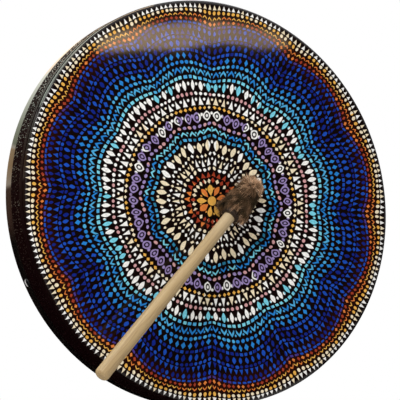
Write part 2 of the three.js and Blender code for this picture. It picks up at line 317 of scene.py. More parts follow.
# Each row of marks: where it ends, in 128ths of the radius, how many marks it has, their form,
# width and height as shares of the space, two colours, and the size of the dots between them.
# The marks of the last row are too small to show, which leaves a bare edge.
PRINT_RINGS = (
    (3, 1, "dash", 2.0, 2.0, GOLD, GOLD, 0.0),
    (11, 9, "leaf", 0.74, 0.9, ORANGE, GOLD, 0.12),
    (15, 27, "diamond", 0.8, 0.8, CREAM, RUST, 0.0),
    (19, 27, "tooth", 0.78, 0.8, RUST, ORANGE, 0.0),
    (22, 36, "bead", 0.62, 0.7, WHITE, CREAM, 0.0),
    (28, 36, "tooth", 0.56, 0.8, WHITE, CREAM, 0.16),
    (31, 60, "diamond", 0.66, 0.8, WHITE, CREAM, 0.0),
    (39, 36, "leaf", 0.52, 0.9, CREAM, WHITE, 0.15),
    (42, 72, "dash", 0.6, 0.6, SKY, TEAL, 0.0),
    (47, 48, "chevron", 0.78, 0.8, CYAN, AZURE, 0.14),
    (50, 84, "bead", 0.66, 0.7, LILAC, PINK, 0.0),
    (58, 48, "eye", 0.74, 0.86, LILAC, WHITE, 0.16),
    (61, 108, "diamond", 0.7, 0.8, GOLD, CREAM, 0.0),
    (67, 72, "tooth", 0.6, 0.84, WHITE, CREAM, 0.18),
    (70, 132, "bead", 0.66, 0.7, PINK, WHITE, 0.0),
    (77, 84, "leaf", 0.5, 0.9, WHITE, CYAN, 0.17),
    (80, 144, "dash", 0.66, 0.62, CYAN, SKY, 0.0),
    (86, 96, "chevron", 0.78, 0.84, SKY, AZURE, 0.15),
    (89, 168, "bead", 0.7, 0.72, AZURE, SKY, 0.0),
    (94, 132, "diamond", 0.66, 0.84, AZURE, ROYAL, 0.0),
    (97, 192, "dash", 0.68, 0.62, ROYAL, NAVY, 0.0),
    (102, 144, "leaf", 0.54, 0.86, ROYAL, NAVY, 0.0),
    (105, 204, "bead", 0.7, 0.7, NAVY, ROYAL, 0.0),
    (109, 180, "tooth", 0.68, 0.84, ROYAL, NAVY, 0.0),
    (113, 192, "leaf", 0.56, 0.84, NAVY, ROYAL, 0.0),
    (115, 204, "dash", 0.66, 0.66, ROYAL, VIOLET, 0.0),
    (118, 216, "diamond", 0.68, 0.8, RUST, ORANGE, 0.0),
    (121, 216, "chevron", 0.78, 0.8, GOLD, ORANGE, 0.0),
    (124, 228, "bead", 0.62, 0.7, CREAM, GOLD, 0.0),
    (127, 228, "tooth", 0.7, 0.84, WHITE, CREAM, 0.0),
    (128, 240, "dash", BARE, BARE, CREAM, CREAM, 0.0),
)


def form_number(name):
    """A form of mark as a number that a colour channel can hold."""
    return MARKS.index(name) * FORM_STEP


def mark_distance(shade, kind, across, along):
    """Signed distance, below 0 inside, from the mark of a kind. Each form is made once."""
    calc, minus = shade.math, shade.minus
    upright = calc("ABSOLUTE", along)
    ends = minus(upright, 1.0)
    reach = shade.hypot(across, along)
    belly = minus(calc("MULTIPLY_ADD", along, along, across), 1.0)
    leaf = calc("MAXIMUM", belly, ends)
    rim = minus(calc("ABSOLUTE", calc("ADD", leaf, EYE_RIM)), EYE_RIM)
    slant = calc("ABSOLUTE", minus(calc("ADD", along, across), CHEVRON_DROP))
    sides = calc("MULTIPLY_ADD", along, 0.5, minus(across, 0.5))
    forms = {
        "bead": minus(reach, 1.0),
        "diamond": minus(calc("ADD", across, upright), 1.0),
        "tooth": calc("MAXIMUM", sides, ends),
        "leaf": leaf,
        "chevron": calc("MAXIMUM", minus(slant, CHEVRON_HALF), minus(across, 1.0)),
        "eye": calc("MINIMUM", rim, minus(reach, EYE_PUPIL)),
        "dash": minus(calc("SMOOTH_MAX", across, upright, 0.5), 1.0),
    }
    distance = 0.0
    for name, form in forms.items():
        chosen = calc("COMPARE", kind, form_number(name), FORM_STEP / 10)
        distance = calc("MULTIPLY_ADD", chosen, form, distance)
    return distance


def print_colour(shade):
    """Colour of the printed marks on their dark ground, from the place on the head."""
    calc, minus, times = shade.math, shade.minus, shade.times
    wander = shade.noise(PRINT_WANDER_SCALE, detail=1.0, roughness=0.5, colour=True)
    x, _, z = shade.axes(shade.vector("MULTIPLY_ADD", wander, (PRINT_WANDER,) * 3, shade.place))
    share = calc("DIVIDE", shade.hypot(x, z), FILM_RADIUS)
    turn_share = calc("DIVIDE", calc("ARCTAN2", z, x), 2 * math.pi)

    wave = calc("SINE", times(turn_share, math.pi * PRINT_POINTS))
    point = minus(PRINT_POINT_LEVEL, calc("ABSOLUTE", wave))
    swing = times(share, calc("SINE", times(share, 2 * math.pi)))
    bend = times(times(swing, point), PRINT_BEND)
    level = calc("MINIMUM", minus(share, bend), LAST_LEVEL)
    row = calc("FLOOR", times(level, PRINT_ROWS))
    key = calc("DIVIDE", calc("ADD", row, 0.5), PRINT_ROWS)

    ends, counts, forms, widths, heights, inks, other_inks, dot_sizes = zip(*PRINT_RINGS)
    starts = [end / PRINT_ROWS for end in (0, *ends)]

    def by_ring(values):
        return shade.ramp(key, list(zip(starts, values)), steps=True)

    limits = by_ring(list(zip(starts, starts[1:], [count / MOST_MARKS for count in counts])))
    low, high, count = shade.node("SeparateColor", limits[0]).outputs
    drawn, dots = by_ring(list(zip(map(form_number, forms), widths, heights, dot_sizes)))
    kind, width, height = shade.node("SeparateColor", drawn).outputs
    count = calc("ROUND", times(count, MOST_MARKS))
    around = times(turn_share, count)
    cell = calc("FLOOR", around)
    across = calc("MULTIPLY_ADD", minus(around, cell), 2.0, -1.0)
    along = shade.span(level, low, high, -1.0, 1.0)
    number = shade.node("CombineXYZ", calc("FLOORED_MODULO", cell, count),
                        times(low, CHANCE_STEP)).outputs[0]
    chance = shade.node("TexWhiteNoise", number).outputs["Color"]
    first, second, third = shade.node("SeparateColor", chance).outputs

    shifted = calc("ADD", across, shade.span(first, 0.0, 1.0, -MARK_SHIFT, MARK_SHIFT))
    sized = times(width, shade.span(second, 0.0, 1.0, *MARK_SIZES))
    reach_across = calc("DIVIDE", calc("ABSOLUTE", shifted), sized)
    distance = mark_distance(shade, kind, reach_across, calc("DIVIDE", along, height))
    mark = shade.span(distance, MARK_BLUR, -MARK_BLUR, ease="SMOOTHSTEP")
    beside = calc("DIVIDE", minus(1.0, calc("ABSOLUTE", across)), 2.0)
    lifted = times(minus(along, DOT_LIFT), 0.5)
    to_dot = minus(shade.hypot(beside, lifted), dots)
    dot = shade.span(to_dot, 0.0, -DOT_BLUR, ease="SMOOTHSTEP")

    swap = calc("GREATER_THAN", calc("MULTIPLY_ADD", point, SWAP_AT_POINTS, third), SWAP_LEVEL)
    ink = shade.mix(swap, by_ring(inks)[0], by_ring(other_inks)[0])
    worn = shade.span(shade.noise(420.0, detail=2.0), 0.3, 0.7, *INK_WEAR)
    warm = shade.span(calc("ABSOLUTE", minus(share, WARM_RING)), WARM_REACH, 0.0)
    ground = shade.mix(warm, GROUND, WARM_GROUND)
    return shade.mix(calc("MAXIMUM", mark, dot), ground, shade.scaled(ink, worn))


def film_front():
    shade = Shade("printed_film")
    shade.bump(shade.noise(9.0, detail=2.0), distance=0.6 * MM, strength=0.12)
    return shade.finish(Base_Color=print_colour(shade), Roughness=0.045, Specular_IOR_Level=0.25)


def film_back():
    """The film seen from inside the drum: milky, with the print showing through."""
    shade = Shade("film_back")
    ghost = shade.mix(0.3, "8f8a80", print_colour(shade))
    cloudy = shade.span(shade.noise(14.0, detail=5.0), 0.35, 0.7, 0.0, 0.25)
    colour = shade.mix(cloudy, ghost, "6a6258")
    return shade.finish(Base_Color=colour, Roughness=0.42, Specular_IOR_Level=0.3)


# Finishes of the other pieces

RUBBED_EDGE = (1.6 * MM, 0.2 * MM)
PEBBLE_SCALE = 400.0
PEBBLE_STRETCH = (1.0, 0.6, 1.0)
PLAIN_STRIP = 7 * MM
PLAIN_STRIP_GLOSS = 0.025
GLINT_SHARE = (0.4, 0.5)
GLINT_SIZE = (0.4, 0.2)
GLINT_GLOSS = 0.6
PEBBLE_GLOSS = 0.002
WOOD_RINGS = 9.0
WOOD_RING_SHARE = 0.45
WOOD_FIBRE_SHARE = 0.75
WOOD_PAINTED_LIGHT_SHARE = 0.6
WOOD_HANDLED_SHARE = 0.35
WOOD_ROUGH_VARIES = 0.08
# Place of the painted glint on the screws and washers: heights over the hoop, and reach towards the rear
PAINTED_GLINT_HEIGHTS = (0.2 * MM, 0.5 * MM)
PAINTED_GLINT_REAR = (-1.2 * MM, 0.4 * MM)


def gloss_lacquer():
    """Black lacquer over bent wood, rubbed through here and there along the rear edge."""
    shade = Shade("gloss_lacquer")
    streaks = shade.noise(1.0, detail=5.0, place=shade.mapped((14, 260, 14)))
    colour = shade.mix(shade.span(streaks, 0.4, 0.8), "0d0a09", "1a1411")
    at_edge = shade.span(shade.axes()[1], *(REAR_Y - width for width in RUBBED_EDGE))
    patches = shade.span(shade.noise(60.0, detail=6.0), 0.56, 0.68)
    colour = shade.mix(shade.times(at_edge, patches), colour, "5a4330")
    shade.bump(shade.noise(160.0, detail=3.0), distance=0.2 * MM, strength=0.05)
    rough = shade.span(shade.noise(35.0), 0.3, 0.7, 0.035, 0.08)
    return shade.finish(Base_Color=colour, Roughness=rough)


def pebbled_vinyl():
    """Black vinyl with pebbles, some of which glint, and a plain strip along its front edge."""
    shade = Shade("pebbled_vinyl")
    distance, chance = shade.cells(shade.mapped(PEBBLE_STRETCH), PEBBLE_SCALE)
    grit = shade.noise(800.0, detail=2.0)
    strip_end = BAND_FRONT_Y + PLAIN_STRIP
    pebbled = shade.span(shade.axes()[1], strip_end, strip_end + MM)
    colour = shade.ramp(grit, (
        (0.36, "0c0203"), (0.55, "140506"), (0.72, "241415"),
    ))[0]
    height = shade.minus(shade.times(grit, 0.6), distance)
    shade.bump(shade.times(height, pebbled), distance=1.2 * MM, strength=1.0)
    first = shade.node("SeparateColor", chance).outputs[0]
    glint = shade.times(shade.span(first, *GLINT_SHARE), shade.span(distance, *GLINT_SIZE))
    level = shade.math("MULTIPLY_ADD", glint, GLINT_GLOSS, PEBBLE_GLOSS)
    level = shade.span(pebbled, 0.0, 1.0, PLAIN_STRIP_GLOSS, level)
    rough = shade.span(glint, 0.0, 1.0, 0.45, 0.25)
    return shade.finish(Base_Color=colour, Roughness=rough, Specular_IOR_Level=level)


def wood(name, light, dark, turn, stretch, rough, painted_light_end=None):
    """Wood whose grain runs along the X axis once the coordinates are turned.

    A painted light end is two places along the grain, between which a paler colour sets in to paint
    brighter light, and that colour.
    """
    shade = Shade(name)
    place = shade.mapped(stretch, turn)
    broad = shade.noise(1.0, detail=3.0, place=place)
    bands = shade.math("PINGPONG", shade.times(broad, WOOD_RINGS), 1.0)
    finer = shade.vector("MULTIPLY", place, (3.0, 9.0, 9.0))
    fibre = shade.noise(1.0, detail=6.0, roughness=0.65, place=finer)
    fine = shade.times(fibre, WOOD_FIBRE_SHARE)
    grain = shade.math("MULTIPLY_ADD", bands, WOOD_RING_SHARE, fine)
    colour = shade.ramp(grain, ((0.28, dark), (0.62, light), (0.95, light)))[0]
    handled = shade.span(shade.noise(24.0, detail=3.0), 0.45, 0.8, 0.0, WOOD_HANDLED_SHARE)
    colour = shade.mix(handled, colour, dark)
    # Painted light: the wood turns paler along the grain towards one end, standing for brighter light
    # there
    if painted_light_end:
        low, high, pale = painted_light_end
        along = shade.axes(place)[0]
        share = shade.span(along, low * stretch[0], high * stretch[0], 0.0, WOOD_PAINTED_LIGHT_SHARE)
        colour = shade.mix(share, colour, pale)
    shade.bump(fibre, distance=0.3 * MM, strength=0.35)
    varies = WOOD_ROUGH_VARIES
    roughness = shade.span(fibre, 0.3, 0.7, rough - varies, rough + varies)
    return shade.finish(Base_Color=colour, Roughness=roughness, Specular_IOR_Level=0.35)


def black_steel():
    """Blackened steel, with a painted glint, near-white and not metallic, on the rear of the crests that
    stand proud of the hoop.
    """
    shade = Shade("black_steel")
    x, y, z = shade.axes()
    proud = shade.span(shade.hypot(x, z), *(SHELL_RADIUS + height for height in PAINTED_GLINT_HEIGHTS))
    # Painted glint: the rear of the crests that stand proud of the hoop turns near-white and not
    # metallic
    painted_glint = shade.times(proud, shade.span(y, *PAINTED_GLINT_REAR))
    worn = shade.span(shade.noise(900.0, detail=5.0), 0.5, 0.75)
    colour = shade.mix(worn, "1d1d1f", "47464a")
    colour = shade.mix(painted_glint, colour, "e4e1e0")
    shade.bump(shade.noise(2500.0, detail=2.0), distance=0.1 * MM, strength=0.3)
    rough = shade.span(worn, 0.0, 1.0, 0.34, 0.2)
    metal = shade.span(painted_glint, 0.0, 1.0, 0.9, 0.0)
    return shade.finish(Base_Color=colour, Roughness=rough, Metallic=metal)


def wool_felt():
    shade = Shade("wool_felt")
    fluff = shade.noise(900.0, detail=6.0, roughness=0.7)
    colour = shade.mix(fluff, "97907f", "d2c9b6")
    shade.bump(fluff, distance=0.8 * MM, strength=0.8)
    return shade.finish(Base_Color=colour, Roughness=0.95, Sheen_Weight=0.3)


def leather():
    shade = Shade("dark_leather")
    grain, _ = shade.cells(shade.place, 1100.0)
    patches = shade.span(shade.noise(180.0), 0.35, 0.7)
    colour = shade.mix(patches, "1e150f", "3a281b")
    shade.bump(grain, distance=0.3 * MM, strength=0.5)
    return shade.finish(Base_Color=colour, Roughness=0.6, Specular_IOR_Level=0.35)


def fur_hide():
    shade = Shade("fur_hide")
    colour = shade.mix(shade.noise(120.0, detail=5.0), "241a12", "4a392c")
    shade.bump(shade.noise(1600.0), distance=0.6 * MM, strength=0.8)
    return shade.finish(Base_Color=colour, Roughness=0.9, Specular_IOR_Level=0.2)


def fur_pile():
    """Strands: each has its own tone, and painted shade makes it darker at its root, the more so the
    darker it is, and a little lighter at its end.
    """
    shade = Shade("fur_pile")
    tone, along = (
        shade.node("Attribute", attribute_name=name).outputs["Fac"] for name in ("tone", "along")
    )
    colour = shade.ramp(tone, (
        (0.0, "3b301e"), (0.3, "6e533b"), (0.55, "937153"),
        (0.8, "c39a76"), (1.0, "f6d0aa"),
    ))[0]
    # Painted shade darkens each strand towards its root, deep in the pile; a painted lift brightens its
    # outer end
    root = shade.span(tone, 0.2, 0.9, 0.42, 0.95)
    colour = shade.scaled(colour, shade.span(along, 0.0, 0.6, root, 1.1))
    return shade.finish(Base_Color=colour, Roughness=0.55, Specular_IOR_Level=0.12)


# Drum: hoop, head and trim band

FILM_THICKNESS = 0.4 * MM
FILM_EDGE_RADIUS = 5 * MM
GLUE_LINE = 0.2 * MM
BEARING_EDGE_FALL = 2.2 * MM
REAR_EDGE_ROUND = 1.5 * MM
BAND_EDGE_ROUND = 0.25 * MM
BAKE_FRONT = (0.352, 0.352, 0.345)
BAKE_BACK = (0.85, 0.85, 0.145)


def make_hoop():
    crown = FILM_EDGE_RADIUS - FILM_THICKNESS - GLUE_LINE
    ease = REAR_EDGE_ROUND
    profile = [
        (BORE_RADIUS, CROWN_Y + BEARING_EDGE_FALL),
        *arc((SHELL_RADIUS - crown, CROWN_Y + crown), crown, -90, 0, 8),
        *arc((SHELL_RADIUS - ease, REAR_Y - ease), ease, 0, 90, 6),
        *arc((BORE_RADIUS + ease, REAR_Y - ease), ease, 90, 180, 6),
    ]
    end = SHELL_RADIUS + ease
    bores = (
        (SCREW_RADIUS + FIT_GAP, BORE_RADIUS - ease),
        (WASHER_RADIUS + WASHER_SEAT_GAP, WASHER_SEAT - WASHER_SEAT_GAP),
    )
    cutters = []
    for number in range(SCREWS):
        for radius, start in bores:
            points, faces = pin(radius, start, end)
            cutters.append((moved(points, fastener_matrix(number)), faces))
    made = carved(turn(profile, SIDES_DRUM), cutters)
    new_piece("hoop", *made, gloss_lacquer(), "drum", "shell_hoop", "shell_lacquer")


def make_head():
    """One sheet of film, flat, rolled over the bearing edge into a skirt."""
    edge = (FILM_RADIUS - FILM_EDGE_RADIUS, FRONT_Y + FILM_EDGE_RADIUS)
    flat = edge[0] - MM
    outside = [
        (0, FRONT_Y),
        (flat, FRONT_Y),
        *arc(edge, FILM_EDGE_RADIUS, -90, 0, 12),
        (FILM_RADIUS, SKIRT_Y),
    ]
    inside = [
        (FILM_RADIUS - FILM_THICKNESS, SKIRT_Y),
        *arc(edge, FILM_EDGE_RADIUS - FILM_THICKNESS, 0, -90, 12),
        (flat, FRONT_Y + FILM_THICKNESS),
        (0, FRONT_Y + FILM_THICKNESS),
    ]
    made = turn(outside + inside, SIDES_DRUM)
    head = new_piece("head", *made, film_front(), "drum", "drum_head", "head_film")
    head.data.materials.append(film_back())
    front_faces = SIDES_DRUM * (len(outside) - 1)
    for index, face in enumerate(head.data.polygons):
        face.material_index = 0 if index < front_faces else 1
    flatten_for_bake(head)


def flatten_for_bake(head):
    """UV map: the printed side with its skirt as one large disc, the inside as a small one."""
    layer = head.data.uv_layers.new(name="OFBake")
    widest = FILM_RADIUS + SKIRT_Y - FRONT_Y
    for face in head.data.polygons:
        middle_x, middle_y, size = BAKE_BACK if face.material_index else BAKE_FRONT
        for loop in face.loop_indices:
            x, y, z = head.data.vertices[head.data.loops[loop].vertex_index].co
            reach = math.hypot(x, z)
            unrolled = size * (reach + y - FRONT_Y) / widest / max(reach, 1e-9)
            layer.data[loop].uv = (middle_x + x * unrolled, middle_y + z * unrolled)


def make_band():
    ease = BAND_EDGE_ROUND
    profile = [
        (BAND_INSIDE, BAND_FRONT_Y),
        *arc((BAND_RADIUS - ease, BAND_FRONT_Y + ease), ease, -90, 0, 4),
        *arc((BAND_RADIUS - ease, BAND_REAR_Y - ease), ease, 0, 90, 4),
        (BAND_INSIDE, BAND_REAR_Y),
    ]
    made = turn(profile, SIDES_DRUM)
    new_piece("band", *made, pebbled_vinyl(), "drum", "trim_band", "band_vinyl")


# Cross handle

HANDLE_ANGLE = 26
BAR_THICKNESS = 16 * MM
BAR_LAP_WIDTH = 28 * MM
BAR_LAP_LENGTH = 46 * MM
BAR_WAIST_WIDTH = 22 * MM
BAR_WAIST_AT = 66 * MM
BAR_END_WIDTH = 38 * MM
BAR_SHOULDER_AT = 214 * MM
BAR_EDGE_ROUND = 3.5 * MM
BAR_STATIONS = 72
FIT_GAP = 0.3 * MM
PEG_RADIUS = 4.5 * MM
PEG_CHAMFER = 0.6 * MM


def eased(value, low, high):
    share = min(max((value - low) / (high - low), 0.0), 1.0)
    return share * share * (3 - 2 * share)


def bar_half_width(out):
    """Half the bar's width at a distance from the middle."""
    waisted = (BAR_WAIST_WIDTH - BAR_LAP_WIDTH) * eased(out, BAR_LAP_LENGTH / 2, BAR_WAIST_AT)
    flared = (BAR_END_WIDTH - BAR_WAIST_WIDTH) * eased(out, BAR_WAIST_AT, BAR_SHOULDER_AT)
    return (BAR_LAP_WIDTH + waisted + flared) / 2


def bar_section(half_width):
    """Rounded section of a bar: thickness along Y, width along Z."""
    corner, half = BAR_EDGE_ROUND, BAR_THICKNESS / 2
    points = []
    for sign_y, sign_z, start in ((1, 1, 0), (-1, 1, 90), (-1, -1, 180), (1, -1, 270)):
        middle = (sign_y * (half - corner), sign_z * (half_width - corner))
        points += arc(middle, corner, start, start + 90, 6)
    return points


def bar_blank():
    """A bar along X, with both ends hollowed to seat on the hoop's bore."""
    seat = BORE_RADIUS - FIT_GAP
    points, faces = [], []
    for k in range(BAR_STATIONS + 1):
        share = 2 * k / BAR_STATIONS - 1
        for y, z in bar_section(bar_half_width(abs(share) * seat)):
            points.append((share * math.sqrt(seat * seat - z * z), y, z))
    around = len(points) // (BAR_STATIONS + 1)
    for k in range(BAR_STATIONS):
        for n in range(around):
            low, next_low = k * around + n, k * around + (n + 1) % around
            faces.append((low, low + around, next_low + around, next_low))
    faces.append(tuple(range(around)))
    faces.append(tuple(reversed(range(len(points) - around, len(points)))))
    return points, faces


def box(low, high):
    """Points and faces of a plain cutting box."""
    points = [(x, y, z) for x in (low[0], high[0]) for y in (low[1], high[1]) for z in (low[2], high[2])]
    faces = [(0, 1, 3, 2), (4, 6, 7, 5), (0, 4, 5, 1), (2, 3, 7, 6), (0, 2, 6, 4), (1, 5, 7, 3)]
    return points, faces


def pin(radius, low, high):
    """Points and faces of a plain round cutter along Y."""
    return turn([(0, low), (radius, low), (radius, high), (0, high)], SIDES_SMALL)


def solid(points, faces):
    """A plain object with its faces pointing out, for cutting."""
    made = mesh_object("solid", points, faces)
    shape = bmesh.new()
    shape.from_mesh(made.data)
    bmesh.ops.recalc_face_normals(shape, faces=shape.faces)
    shape.to_mesh(made.data)
    shape.free()
    return made


def carved(blank, cutters):
    """Points and faces of a blank with every cutter taken away."""
    body = solid(*blank)
    tools = [solid(*cutter) for cutter in cutters]
    for tool in tools:
        cut = body.modifiers.new("cut", "BOOLEAN")
        cut.object = tool
        cut.operation = "DIFFERENCE"
        cut.solver = "EXACT"
    mesh = bpy.data.meshes.new_from_object(body.evaluated_get(bpy.context.evaluated_depsgraph_get()))
    points = [v.co.copy() for v in mesh.vertices]
    faces = [tuple(face.vertices) for face in mesh.polygons]
    for made in (body, *tools):
        bpy.data.objects.remove(made)
    return points, faces


def make_handle():
    reach = BAR_LAP_WIDTH / 2 + FIT_GAP
    deep = 2 * BAR_THICKNESS
    half_gap = FIT_GAP / 2
    laps = {
        "a": box((-reach, -deep, -deep), (reach, half_gap, deep)),
        "b": box((-reach, -half_gap, -deep), (reach, deep, deep)),
    }
    hole = pin(PEG_RADIUS + FIT_GAP, -deep, deep)
    for number, (letter, lap) in enumerate(laps.items()):
        degrees = HANDLE_ANGLE + 90 * number
        to_grain = (0, math.radians(degrees), 0)
        grain = wood(f"handle_wood_{letter}", "a3814f", "6d4c2b", to_grain,
                     (9, 110, 110), rough=0.5)
        points, faces = carved(bar_blank(), [lap, hole])
        new_piece(f"bar_{letter}", moved(points, about_y(degrees)), faces, grain, "drum",
                  f"handle_bar_{letter}", "handle_wood", sharp=40)
    half = BAR_THICKNESS / 2
    chamfer = PEG_CHAMFER
    made = turn([
        (0, -half), (PEG_RADIUS - chamfer, -half), (PEG_RADIUS, chamfer - half),
        (PEG_RADIUS, half - chamfer), (PEG_RADIUS - chamfer, half), (0, half),
    ], SIDES_SMALL)
    upright = (0, 0, math.radians(90))
    peg = wood("peg_wood", "6b4a2c", "3e2817", upright, (30, 700, 700), rough=0.55)
    new_piece("peg", *made, peg, "drum", "handle_peg", "peg_wood")


# Screws in cup washers

SCREWS = 4
SCREW_RADIUS = 2 * MM
SCREW_LENGTH = 36 * MM
SCREW_POINT = 5 * MM
HEAD_RADIUS = 4.3 * MM
HEAD_DOME = 0.7 * MM
WASHER_RADIUS = 6.5 * MM
WASHER_FLOOR = 0.4 * MM
WASHER_LIP = 0.6 * MM
WASHER_SEAT_GAP = 0.3 * MM
WASHER_PROUD = 0.8 * MM
WASHER_HEIGHT = WASHER_FLOOR + HEAD_RADIUS - SCREW_RADIUS
WASHER_SEAT = SHELL_RADIUS + WASHER_PROUD - WASHER_HEIGHT
SCREW_SEAT_GAP = 0.15 * MM
RECESS_LENGTH = 4.6 * MM
RECESS_WIDTH = 1.0 * MM
RECESS_DEPTH = 1.5 * MM


def fastener_matrix(number):
    """From a screw's own axes, its length along Y, to its place at the end of a bar."""
    outward = Matrix.Rotation(math.radians(-90), 4, "Z")
    return about_y(HANDLE_ANGLE + 90 * number) @ outward


def make_fasteners():
    hole = SCREW_RADIUS + FIT_GAP
    mouth = HEAD_RADIUS + FIT_GAP
    seat = WASHER_SEAT
    top = seat + WASHER_HEIGHT
    washer = turn([
        (hole, seat), (WASHER_RADIUS, seat), (WASHER_RADIUS, seat + WASHER_FLOOR),
        *arc((mouth + WASHER_LIP / 2, top - WASHER_LIP / 2), WASHER_LIP / 2, 20, 160, 6),
        (hole, seat + WASHER_FLOOR),
    ], SIDES_SMALL)

    neck = seat + WASHER_FLOOR + SCREW_SEAT_GAP
    rim = neck + HEAD_RADIUS - SCREW_RADIUS
    ball = (HEAD_RADIUS ** 2 + HEAD_DOME ** 2) / (2 * HEAD_DOME)
    start = math.degrees(math.acos(HEAD_RADIUS / ball))
    dome = arc((0, rim + HEAD_DOME - ball), ball, start, 90, 8)
    tip = SHELL_RADIUS - SCREW_LENGTH
    blank = turn([
        (0, tip), (SCREW_RADIUS, tip + SCREW_POINT), (SCREW_RADIUS, neck), *dome[:-1], (0, dome[-1][1]),
    ], SIDES_SMALL)
    crown = rim + HEAD_DOME
    long, wide = RECESS_LENGTH / 2, RECESS_WIDTH / 2
    floor = crown - RECESS_DEPTH
    screw = carved(blank, [
        box((-long, floor, -wide), (long, crown + MM, wide)),
        box((-wide, floor, -long), (wide, crown + MM, long)),
    ])
    steel = black_steel()
    for number in range(SCREWS):
        turned = fastener_matrix(number)
        for name, node, (points, faces) in (
            ("washer", "cup_washer", washer), ("screw", "handle_screw", screw),
        ):
            new_piece(f"{name}_{number + 1}", moved(points, turned), faces, steel, "drum",
                      f"{node}_{number + 1}", "black_steel")


# Beater: its own Y runs along the stick from the butt, and its own +Z faces the head

STICK_BUTT_ROUND = 5 * MM
STICK_TIP_CHAMFER = 1.5 * MM
STICK_BUTT_RADIUS = 10 * MM
STICK_NECK_RADIUS = 8.3 * MM
STICK_LENGTH = 365 * MM
STICK_PAINTED_LIGHT = 65 * MM
FUR_BASE = 320 * MM
FUR_TIP = 382 * MM
FUR_NECK_LENGTH = 9 * MM
FUR_NECK_RADIUS = 10.6 * MM
FUR_BASE_RADIUS = 23 * MM
FUR_TIP_RADIUS = 17 * MM
FUR_WALL = 5 * MM
FUR_BASE_ROUND = 6 * MM
FUR_TIP_ROUND = 12 * MM
PILE_DEPTH = 4.2 * MM
NECK_BAND_RADIUS = 10.9 * MM
NECK_BAND_THICKNESS = 1.2 * MM
NECK_BAND_WIDTH = 6 * MM

# Pile: tufts of strands, combed towards the handle, and off the end in a zone at the tip, which has
# tufts of its own. They lie flatter on the smooth side, -X.
TUFTS = 590
TUFT_CROWDING = 1.15
TUFT_STRANDS = 17
TUFT_SPREAD = 2.0 * MM
TUFT_GATHER = 0.7
TUFT_STRAY = 1.3 * MM
TIP_TUFTS = 175
TIP_TUFT_SPOTS = (0.7, 0.92)
TIP_TUFT_LIFT = 0.1
TIP_ZONE = (FUR_TIP - 22 * MM, FUR_TIP - 6 * MM)
TIP_SHORTER = 0.62
TIP_COMB = 3 * MM
TIP_FORWARD = 1.35 * MM
TIP_SLANT = 1.05 * MM
SMOOTH_COMB = 1.2 * MM
SMOOTH_SHORTER = 0.2
SMOOTH_LIFT = 0.26
LIFT, LIFT_VARIES = 0.34, 0.1
LIFT_AT_TIP = 0.15
LIFT_ON_END = 0.3
LEAN_VARIES = 0.28
STRAND_LENGTHS = (9.1 * MM, 14.95 * MM)
STRAND_TRIMS = (0.7, 1.2)
STRAND_RADII = (0.119 * MM, 0.204 * MM)
STRAND_TAPER = 0.6
STRAND_DROOP = 0.12
STRAND_BELLY = 0.07
STRAND_RINGS = 3
STRAND_SIDES = 3
HEAD_CLEARANCES = (0.55 * MM, 1.25 * MM)

# Tones of the pile, from 0, dark, to 1, pale. It is patchy, and palest at the tip, partly its own tone
# and partly painted light; the smooth side is darker, a painted shade, except at its base.
TONE, TONE_VARIES = 0.22, 0.28
STRAND_TONE_VARIES = 0.13
PATCH_TONE = 0.3
PATCHES_ROUND = 3
PATCH_TURN = 1.3
PATCH_PITCH = 170.0
TIP_TONE_AND_LIGHT = 0.9
TIP_TONE_LOST = 0.45
UPPER_TONE = 0.1
UPPER_ZONE = (FUR_TIP - 40 * MM, FUR_TIP)
SMOOTH_PAINTED_SHADE = -0.6
SMOOTH_BASE_TONE = 0.95
BASE_ZONE = (FUR_BASE + 8 * MM, FUR_BASE + 30 * MM)


def beater_matrix():
    """From the beater's own axes to the drum's."""
    points = points_of("beater_stick")
    middle = points.mean(0)
    direction = np.linalg.svd(points - middle, full_matrices=False)[2][0]
    along = Vector(direction if direction[2] > 0 else -direction)
    butt = Vector(middle) + along * float(((points - middle) @ np.array(along)).min())
    side = along.cross(Vector((0, 1, 0))).normalized()
    facing = side.cross(along)
    matrix = Matrix((side, along, facing)).transposed().to_4x4()
    matrix.translation = butt
    return matrix


def head_outline(inset, steps):
    """Half outline of the beater's head, from its base to the tip on the axis."""
    base = FUR_BASE + inset
    top = FUR_TIP - inset
    wide, narrow = FUR_BASE_RADIUS - inset, FUR_TIP_RADIUS - inset
    base_round = max(FUR_BASE_ROUND - inset, MM)
    tip_round = max(FUR_TIP_ROUND - inset, MM)
    return [
        *arc((wide - base_round, base + base_round), base_round, -90, 0, steps),
        *arc((narrow - tip_round, top - tip_round), tip_round, 0, 90, steps)[:-1],
        (narrow - tip_round, top),
        (0, top),
    ]


def beater_piece(matrix, name, profile, material, node, slot):
    """A turned piece of the beater."""
    points, faces = turn(profile, SIDES_BEATER)
    return new_piece(name, moved(points, matrix), faces, material, "beater", node, slot)


def make_stick(matrix):
    bottom = STICK_BUTT_ROUND
    profile = [
        (0, 0),
        *arc((STICK_BUTT_RADIUS - bottom, bottom), bottom, -90, 0, 8),
        (STICK_NECK_RADIUS, FUR_BASE - FUR_NECK_LENGTH),
        (STICK_NECK_RADIUS, STICK_LENGTH - STICK_TIP_CHAMFER),
        (STICK_NECK_RADIUS - STICK_TIP_CHAMFER, STICK_LENGTH),
        (0, STICK_LENGTH),
    ]
    to_grain = Matrix.Rotation(math.radians(-90), 3, "Z") @ matrix.to_3x3().inverted()
    butt = (to_grain @ matrix.translation).x
    # Painted light: the stick turns paler over its last stretch below the fur
    painted_light_end = (butt + FUR_BASE - STICK_PAINTED_LIGHT, butt + FUR_BASE, "cdb896")
    pale = wood("stick_wood", "b89d72", "9f845d", tuple(to_grain.to_euler("XYZ")),
                (7, 160, 160), rough=0.5, painted_light_end=painted_light_end)
    beater_piece(matrix, "stick", profile, pale, "beater_stick", "stick_wood")


